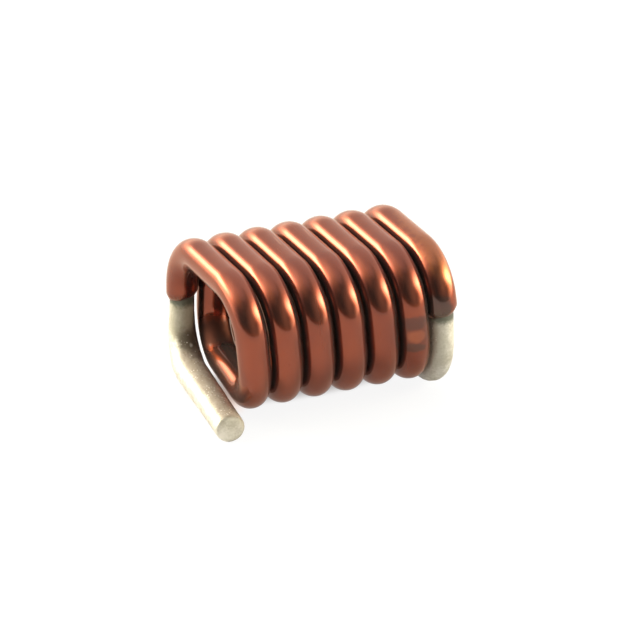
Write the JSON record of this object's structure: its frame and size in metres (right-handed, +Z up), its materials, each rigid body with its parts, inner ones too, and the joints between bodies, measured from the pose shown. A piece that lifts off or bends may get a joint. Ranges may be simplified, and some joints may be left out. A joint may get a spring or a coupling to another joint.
{
  "type": "air core inductor",
  "caption": "Square air-core coil of enamelled round copper wire, its stripped and tinned ends bent under the coil as solder leads.",
  "frame": {"origin": "centre of the footprint, on the surface that the two leads rest on", "axes": "+X along the coil, from the rear lead's end to the front lead's end; -Y is the front, where the rear lead's cut end shows; +Z up"},
  "size_m": [0.0054, 0.0038, 0.0033],
  "materials": {
    "enamel": "glossy red-brown enamel over copper wire",
    "tin": "rough, grainy dipped solder on the stripped ends"
  },
  "bodies": {
    "root": {"wire_coil": "enamel"}
  },
  "joints": []
}
